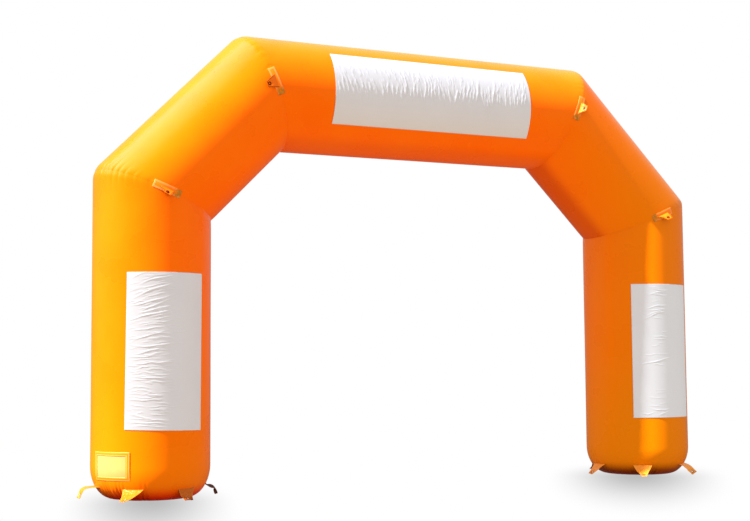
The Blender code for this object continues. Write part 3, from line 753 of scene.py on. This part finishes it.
def eyelet_strip(root, tip, length, skew, hole_set, welds, cell):
    """A flat trapezoid from its root edge at y = 0 to its tip, with a hole for its eyelet."""
    bm = cut_sheet((root, length), cell)
    hole = Vector((skew * (length - hole_set) / length, length - hole_set, 0))
    for vertex in bm.verts:
        share = min(1.0, max(0.0, vertex.co.y / length + 0.5))
        vertex.co = (vertex.co.x * strip_width(share, root, tip) / root + skew * share, share * length, 0)

    def edge(place):
        """The distance of a place from the strip's sides and tip."""
        share = min(1.0, place.y / length)
        half = strip_width(share, root, tip) / 2
        return min(half - abs(place.x - skew * share), length - place.y)

    mark_welds(bm, edge, welds)
    cut = EYELET_BARREL + cell / 4
    inside = [face for face in bm.faces if (face.calc_center_median() - hole).length < cut]
    bmesh.ops.delete(bm, geom=inside, context="FACES")
    return bm, hole


def bend_strip(bm, path, length, hole, root_seat, curl, twist, draw):
    """Bends a flat strip down -Y along its path. root_seat gives the root's moves in and up at each x.

    curl is how much it is cockled towards its tip, except round its hole, and twist the turn of its tip.
    """
    place, run, rise, slope = path
    weld = bm.verts.layers.float["weld"]
    flat = np.array([vertex.co for vertex in bm.verts])
    rumple = slow_waves(draw, 45 * flat[:, 0], 14 * flat[:, 1]) - 0.5
    for vertex, rumpled in zip(bm.verts, rumple):
        x, at = vertex.co.x, vertex.co.y
        fade = max(0.0, 1 - at / (ROOT_FADE * length)) ** 2
        inward, upward = root_seat(x)
        lean = np.interp(at, place, slope)
        share = at / length
        middle = hole.x * at / hole.y
        off = x - middle
        held = exp(-(((vertex.co - hole).length / EYELET_HOLD) ** 4))
        cockle = sin(14 * off + 2.2 * share) + 2.4 * rumpled
        roll = twist * share * share
        lift = 0.6 * WELD_RISE * vertex[weld] + curl * share * cockle * (1 - held) + off * sin(roll)
        along = np.interp(at, place, run) - lift * sin(lean)
        up = np.interp(at, place, rise) + lift * cos(lean)
        vertex.co = (middle + off * cos(roll), inward * fade - along, upward * fade + up)
    bmesh.ops.reverse_faces(bm, faces=bm.faces)


def eyelet_mesh():
    """A two-part metal eyelet with rounded flanges, its axis along Z."""
    face = SHEET_THICKNESS / 2 + EYELET_SEAT
    rim = face + EYELET_WALL
    half = [(EYELET_BORE, rim), (EYELET_FLANGE, rim), (EYELET_FLANGE, face), (EYELET_BARREL, face)]
    profile = [(radius, -height) for radius, height in half] + half[::-1]
    bm = bmesh.new()
    corners = [bm.verts.new((radius, 0, height)) for radius, height in profile]
    edges = [bm.edges.new(pair) for pair in zip(corners, corners[1:] + corners[:1])]
    bmesh.ops.spin(
        bm, geom=corners + edges, cent=(0, 0, 0), axis=(0, 0, 1), angle=2 * pi,
        steps=EYELET_STEPS, use_merge=True,
    )
    bmesh.ops.recalc_face_normals(bm, faces=bm.faces)
    rounded = []
    for edge in bm.edges:
        low, high = (vertex.co for vertex in edge.verts)
        level = abs(low.z - high.z) < NEAR and abs(abs(low.z) - rim) < NEAR
        if level and abs(low.xy.length - high.xy.length) < NEAR:
            rounded.append(edge)
    bmesh.ops.bevel(
        bm, geom=rounded, offset=EYELET_ROUND, affect="EDGES", segments=3, profile=0.5, material=-1,
    )
    return bm


def add_eyelet(name, metal, place, hole, path, length, twist):
    """Sets an eyelet in a strip's hole, square to the cloth there."""
    at, run, rise, slope = path
    along, up, lean = (np.interp(hole.y, at, values) for values in (run, rise, slope))
    seat = Matrix.Translation((hole.x, -along, up)) @ Matrix.Rotation(-lean, 4, "X")
    seat @= Matrix.Rotation(-twist * (hole.y / length) ** 2, 4, "Y")
    eyelet = finished_piece(f"{name}_ring", eyelet_mesh(), place @ seat, metal, smooth_below=50)
    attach(eyelet, "root")
    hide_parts(name)


# Patches and flaps: the tube's coated cloth with pressed weld lines along the edges.
# The patches' cloth is painted lighter and yellower than the tube: painted light where their raised welds
# would shade them.
PATCH_PAINTED_LIGHT_COLOURS = ("#FF780C", "#FF8014")
patch_vinyl = welded_cloth("coated polyester, patch", PATCH_PAINTED_LIGHT_COLOURS, "#FF9A58", (0.32, 0.4), "#7C6A1C")
# The flaps' dark brown weld lines are painted shade along their edges and tip.
flap_vinyl = welded_cloth("coated polyester, flap", ("#F06606", "#F46E0C"), "#641E02", (0.4, 0.48))

# The underside of flaps and tabs: the cloth's bare weave, quite matt, in a dark russet that is painted shade,
# as these sides lie in shadow.
strip_back_shade = welded_cloth("bare polyester weave, russet", ("#4C1002", "#561604"), "#5C1C06", (0.55, 0.65))

# Nickel-plated brass gone dull and dark, and finely scuffed by lines.
SCUFFS = (260.0, 5.0)
DARK_NICKEL = ("#2E2A26", "#4A443C")
flap_metal = mottled_finish("nickel-plated brass, stamped", DARK_NICKEL, (0.28, 0.5), *SCUFFS, bare_metal=1.0)

for mitre in MITRES:
    place = mitre_place(mitre)
    bm = cut_sheet(PATCH_SIZE, CELL)
    mark_welds(bm, rectangle_edge(PATCH_SIZE), PATCH_WELDS)
    weld = bm.verts.layers.float["weld"]
    # Painted shadow of the flap, strongest at the patch's inner end.
    soiled = bm.verts.layers.float.new("soiled")
    for vertex in bm.verts:
        from_inner_end = vertex.co.x + PATCH_SIZE[0] / 2
        vertex[soiled] = PATCH_FLAP_SHADOW * exp(-((from_inner_end / PATCH_FLAP_SHADOW_REACH) ** 4))
        along, across = mitre.along + vertex.co.x, vertex.co.y
        raised = SHEET_CLEAR + WELD_RISE * vertex[weld]
        vertex.co = (along, across, mitre_surface(along, across) + raised)
    patch = finished_piece(f"patch_{mitre.name}_sheet", bm, place, patch_vinyl)
    thicken(patch)
    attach(patch, "root")
    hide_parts(f"patch_{mitre.name}")
    side = mitre.name.split("_")[0]

    crown = mitre_surface(mitre.along, 0)

    def root_seat(x):
        """Keeps the root edge on the patch, which falls away round the tube."""
        return 0.0, mitre_surface(mitre.along - mitre.side * x, 0) - crown

    strip = (FLAP_ROOT, FLAP_TIP, mitre.length, mitre.skew)
    bm, hole = eyelet_strip(*strip, FLAP_EYELET_SET, FLAP_WELDS, CELL / 2)
    path = bent_path(mitre.length, FLAP_BENDS, mitre.slopes)
    bend_strip(bm, path, mitre.length, hole, root_seat, FLAP_CURL, 0.0, Random(mitre.name))
    half_sheet = SHEET_THICKNESS / 2 * cos(radians(mitre.slopes[0]))
    seat_height = crown + 2 * SHEET_CLEAR + SHEET_THICKNESS + half_sheet
    seat = Matrix.Translation((mitre.along, 0, seat_height))
    seat @= Matrix.Rotation(pi if mitre.side > 0 else 0, 4, "Z")
    flap = finished_piece(f"flap_{mitre.name}_sheet", bm, place @ seat, flap_vinyl)
    thicken(flap, 0, strip_back_shade)
    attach(flap, "root")
    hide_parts(f"flap_{mitre.name}")
    add_eyelet(f"eyelet_{mitre.name}", flap_metal, place @ seat, hole, path, mitre.length, 0.0)


# Foot tabs. Six tabs of the tube's cloth are welded round each foot, and each has a clinched metal eyelet
# for a ground peg. They hang to the floor, each in its own way.
TAB_ROOT = 0.185
TAB_ROOT_HEIGHT = 0.105
TAB_EYELET_SET = 0.03
TAB_BENDS = (0.3, 0.58)
TAB_WELDS = (0.006,)
FLOOR_CLEAR = 0.001
PAINTED_LIGHT_AND_SHADE_SHARE = 0.8  # how far the painted light and shade takes the tabs from their own colour

# turn is a tab's place round its foot, from the front, and slopes the rises of its three lengths, in degrees.
# skew is how far its tip swings aside, tip its width there, and the last value how dark its outer half is:
# mud, and painted shade on the left foot's front inner tab.
Tab = namedtuple("Tab", "name foot turn length slopes skew tip curl twist mud", defaults=(0.3,))
TABS = (
    Tab("left_outer", -1, -90, 0.195, (-3, -12, -68), 0.01, 0.052, 0.006, -0.35, 0.0),
    Tab("left_front_outer", -1, -33, 0.205, (-40, -27, -18), -0.036, 0.052, 0.006, 0.0, 0.15),
    Tab("left_front_inner", -1, 24, 0.135, (-78, -66, -30), -0.04, 0.088, 0.004, 0.0, 1.0),
    Tab("left_inner", -1, 86, 0.16, (-50, -8, -74), 0.0, 0.056, 0.014, 0.5),
    Tab("left_back_inner", -1, 150, 0.13, (-60, -52, -40), 0.006, 0.06, 0.004, 0.0),
    Tab("left_back_outer", -1, -150, 0.13, (-62, -54, -36), 0.0, 0.056, 0.004, 0.1),
    Tab("right_inner", 1, -90, 0.145, (-46, -44, -40), 0.0, 0.052, 0.005, -0.2),
    Tab("right_front_inner", 1, -30, 0.15, (-84, -38, -28), 0.0, 0.048, 0.006, 0.0),
    Tab("right_front_outer", 1, 34, 0.155, (-26, -42, -46), 0.0, 0.06, 0.006, 0.8),
    Tab("right_outer", 1, 106, 0.165, (-50, -24, -22), 0.004, 0.054, 0.005, 0.0, 0.7),
    Tab("right_back_outer", 1, 150, 0.13, (-54, -56, -42), 0.0, 0.06, 0.004, 0.0),
    Tab("right_back_inner", 1, -154, 0.13, (-62, -54, -36), -0.02, 0.056, 0.004, 0.0),
)
PAINTED_SHADE_TABS = ("left_inner",)  # tabs whose upper face takes the dark underside finish, as painted shade

# Tab cloth: the tube's, handled and trodden until its coat is full of small creases that glint. Across the
# arch its colour is painted: darker as painted shade on the inner side of the left foot, lighter as painted
# light at the right one.
tab_vinyl = welded_cloth("coated polyester, tab", ("#EA5E08", "#F2680E"), "#FF9A44", (0.3, 0.4))
add, tab_shader = partial(add_node, tab_vinyl.node_tree), shader_of(tab_vinyl)
fresh = tab_shader.inputs["Base Color"].links[0].from_socket
threads = tab_shader.inputs["Normal"].links[0].from_socket
place = add("TexCoord").outputs["Object"]
x = add("SeparateXYZ", {"Vector": place}).outputs["X"]
width_share = add("MapRange", {"Value": x, **OVER_WIDTH})
# Painted light and shade by the place across the arch: darker on the left foot's inner side, lighter at the
# right foot.
TAB_PAINTED_LIGHT_AND_SHADE = ((0.07, "#F4700C"), (0.11, "#B45C08"), (0.2, "#B45C08"), (0.78, "#FF9A2C"), (0.95, "#FFA83A"))
worn = add("ValToRGB", {"Fac": width_share}, TAB_PAINTED_LIGHT_AND_SHADE)
tab_colour = add("Mix", {0: PAINTED_LIGHT_AND_SHADE_SHARE, 6: fresh, 7: worn})
# Mud on a tab's outer half, and on the left foot's front inner tab painted shade.
mud = add("Attribute", attribute_name="mud").outputs["Fac"]
muddied_and_shaded = add("Mix", {0: mud, 6: tab_colour, 7: "#7A3406"})
handled = add("TexNoise", {"Vector": place, "Scale": 42.0, "Detail": 3.0})
creased = add("Bump", {"Height": handled, "Distance": 0.009, "Normal": threads})
feed(tab_shader, {"Base Color": muddied_and_shaded, "Normal": creased, "Specular Tint": (1.0, 0.85, 0.5, 1.0)})

# Brass whose plating the pegs have worn off, under a film of dried soil.
DULL_BRASS = ("#9C5418", "#B46C24")
tab_metal = mottled_finish("worn brass, stamped", DULL_BRASS, (0.34, 0.55), *SCUFFS, bare_metal=0.25)
tab_root = foot_radius(TAB_ROOT_HEIGHT) + EYELET_SEAT


def foot_seat(x):
    """Keeps a tab's root edge on the foot, which curves away to both sides."""
    return tab_root - sqrt(tab_root * tab_root - x * x), 0.0


for tab in TABS:
    bm, hole = eyelet_strip(TAB_ROOT, tab.tip, tab.length, tab.skew, TAB_EYELET_SET, TAB_WELDS, CELL)
    # How dark the outer half is: mud, and painted shade on the left foot's front inner tab.
    mud = bm.verts.layers.float.new("mud")
    for vertex in bm.verts:
        outer_half = min(1.0, max(0.0, 2.2 * vertex.co.y / tab.length - 1.1))
        vertex[mud] = tab.mud * outer_half ** 1.5
    path = bent_path(tab.length, TAB_BENDS, tab.slopes)
    bend_strip(bm, path, tab.length, hole, foot_seat, tab.curl, tab.twist, Random(tab.name))
    for vertex in bm.verts:
        vertex.co.z = max(vertex.co.z, FLOOR_CLEAR - TAB_ROOT_HEIGHT)
    turn = radians(tab.turn)
    root = (tab.foot * LEG_X + tab_root * sin(turn), -tab_root * cos(turn), TAB_ROOT_HEIGHT)
    place = Matrix.Translation(root) @ Matrix.Rotation(turn, 4, "Z")
    # The left inner tab's upper face is dark with painted shade.
    upper = strip_back_shade if tab.name in PAINTED_SHADE_TABS else tab_vinyl
    sheet = finished_piece(f"tab_{tab.name}_sheet", bm, place, upper)
    thicken(sheet, 0, strip_back_shade)
    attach(sheet, "root")
    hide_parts(f"tab_{tab.name}")
    add_eyelet(f"eyelet_foot_{tab.name}", tab_metal, place, hole, path, tab.length, tab.twist)


# Studio. A white floor and surround, a soft sky, and one key light in the arch's own plane. The white panels
# would burn out in the key, so they have a weaker one from the same place. The tube's gloss comes from a
# broad light of its own.
FLOOR_SIZE = 120.0
SHADOW_REACH = 4.2  # how far a foot's soft shadow runs forward
SHADOW_DEPTH = 0.52
SHADOWS = ((-LEG_X, 16, 0.74), (LEG_X, 36, 0.92))  # the foot's x, the turn in degrees and the half width
# Each foot's soft shadow is painted on the floor as a pool that runs forward. The floor glows: white with
# these painted shadows to the camera, and warm, darker near the arch by occlusion, as light on the arch.
floor_paint, add, _ = new_material("floor paint, white")
ground = add("TexCoord").outputs["Object"]
light = 1.0
for foot_x, turn, half_width in SHADOWS:
    pool = add("Mapping", {"Vector": ground}, vector_type="TEXTURE")
    feed(pool, {"Location": (foot_x, 0, 0), "Rotation": (0, 0, -radians(turn))})
    feed(pool, {"Scale": (half_width, SHADOW_REACH, 1)})
    round_pool = add("TexGradient", {"Vector": pool}, gradient_type="SPHERICAL").outputs["Fac"]
    soft_pool = add("MapRange", {"Value": round_pool, "To Max": SHADOW_DEPTH}, **SMOOTHLY)
    y = add("SeparateXYZ", {"Vector": pool}).outputs["Y"]
    forward = add("MapRange", {"Value": y, "From Min": 0.3, "From Max": -0.16}, **SMOOTHLY)
    one_side = add("Math", {0: soft_pool, 1: forward}, operation="MULTIPLY")
    light = add("Math", {0: light, 1: one_side}, operation="SUBTRACT")
shown_floor = add("Emission", {"Strength": light})
shelter = add("AmbientOcclusion", {"Distance": 0.45}, samples=8).outputs["AO"]
lift = add("MapRange", {"Value": shelter, "From Min": 0.3, "From Max": 0.85})
warm_floor = add("Emission", {"Color": (1.0, 0.8, 0.55, 1), "Strength": lift})
seen = add("LightPath").outputs["Is Camera Ray"]
paint = add("MixShader", {0: seen, 1: warm_floor, 2: shown_floor})
feed(floor_paint.node_tree.nodes["Material Output"], {"Surface": paint})
bm = bmesh.new()
bmesh.ops.create_grid(bm, x_segments=1, y_segments=1, size=FLOOR_SIZE / 2)
floor = finished_piece("floor", bm, Matrix(), floor_paint)
floor.visible_glossy = False
floor.visible_shadow = False

KEY_DIRECTION = Vector((-0.64, -0.015, 0.77))
KEY_STRENGTH = 15.0
BANNER_KEY_STRENGTH = 5.6
GLOSS_STRENGTH = 7.7
GLOSS = {"direction": Vector((-0.62, 0.12, 0.75)), "width": 62.0, "colour": (0.05, 0.24, 0.62)}


def distant_light(name, strength, pieces, direction=KEY_DIRECTION, width=1.0, colour=(1, 1, 1)):
    """A distant light, its width in degrees, that lights only these pieces."""
    data = bpy.data.lights.new(name, "SUN")
    data.energy = strength
    data.color = colour
    data.angle = radians(width)
    light = bpy.data.objects.new(name, data)
    light.rotation_euler = direction.to_track_quat("Z", "Y").to_euler()
    bpy.context.collection.objects.link(light)
    lit = bpy.data.collections.new(name)
    for piece in pieces:
        lit.objects.link(piece)
    light.light_linking.receiver_collection = lit
    return light


shown = [item for item in bpy.context.scene.objects if item.type == "MESH" and item is not floor]
white = [item for item in shown if item.name.startswith("banner")]
skins = [item for item in shown if item.name.endswith("_skin")]
fittings = [item for item in shown if item not in white and item not in skins]
distant_light("key on the tube", KEY_STRENGTH, skins).visible_glossy = False
distant_light("key on the fittings", KEY_STRENGTH, fittings)
distant_light("key on the banners", BANNER_KEY_STRENGTH, white)
gloss = distant_light("gloss on the tube", GLOSS_STRENGTH, skins, **GLOSS)
gloss.visible_diffuse = False

world = bpy.data.worlds.new("studio")
bpy.context.scene.world = world
world.use_nodes = True
world.cycles.sampling_method = "NONE"  # rays reach it by their own kind, so the light path test holds
add = partial(add_node, world.node_tree)
backdrop = world.node_tree.nodes["Background"]
feed(backdrop, {"Color": (1, 1, 1, 1)})
sight = add("LightPath").outputs
direction = add("TexCoord").outputs["Object"]
axes = add("SeparateXYZ", {"Vector": direction}).outputs
rise = add("MapRange", {"Value": axes["Z"], "From Min": -0.5, "From Max": 0.5}, **SMOOTHLY)
sky = add("Mix", {0: rise, 6: (1.12, 0.98, 0.84, 1), 7: (0.9, 1.0, 1.1, 1)})
soft = add("Background", {"Color": sky})

# What the pieces mirror: brighter behind, above and to the right, as (axis, from, to, least, most).
MIRRORED = (("Y", -0.4, 0.7, 0.03, 0.7), ("Z", -0.25, 0.45, 0.1, 1.0), ("X", -0.3, 0.3, 0.34, 1.0))
screen = 1.0
for axis, start, end, least, most in MIRRORED:
    run = {"From Min": start, "From Max": end, "To Min": least, "To Max": most}
    share = add("MapRange", {"Value": axes[axis], **run}, **SMOOTHLY)
    screen = add("Math", {0: screen, 1: share}, operation="MULTIPLY")
mirrored = add("Background", {"Color": (1, 1, 1, 1), "Strength": screen})
lighting = add("MixShader", {0: sight["Is Glossy Ray"], 1: soft, 2: mirrored})
seen = add("MixShader", {0: sight["Is Camera Ray"], 1: lighting, 2: backdrop})
feed(world.node_tree.nodes["World Output"], {"Surface": seen})

# Camera, low in front of the arch and to its left.
CAMERA_PLACE = (-5.64913, -11.05972, 1.08985)
YAW, PITCH, ROLL = (radians(angle) for angle in (25.4135, 4.4724, -0.3913))
camera_data = bpy.data.cameras.new("camera")
camera_data.lens = 64.058
camera_data.sensor_width = 36.0
camera = bpy.data.objects.new("camera", camera_data)
bpy.context.collection.objects.link(camera)
camera.matrix_world = (
    Matrix.Translation(CAMERA_PLACE)
    @ Matrix.Rotation(-YAW, 4, "Z")
    @ Matrix.Rotation(pi / 2 + PITCH, 4, "X")
    @ Matrix.Rotation(ROLL, 4, "Z")
)
bpy.context.scene.camera = camera
bpy.context.scene.view_settings.view_transform = "Standard"
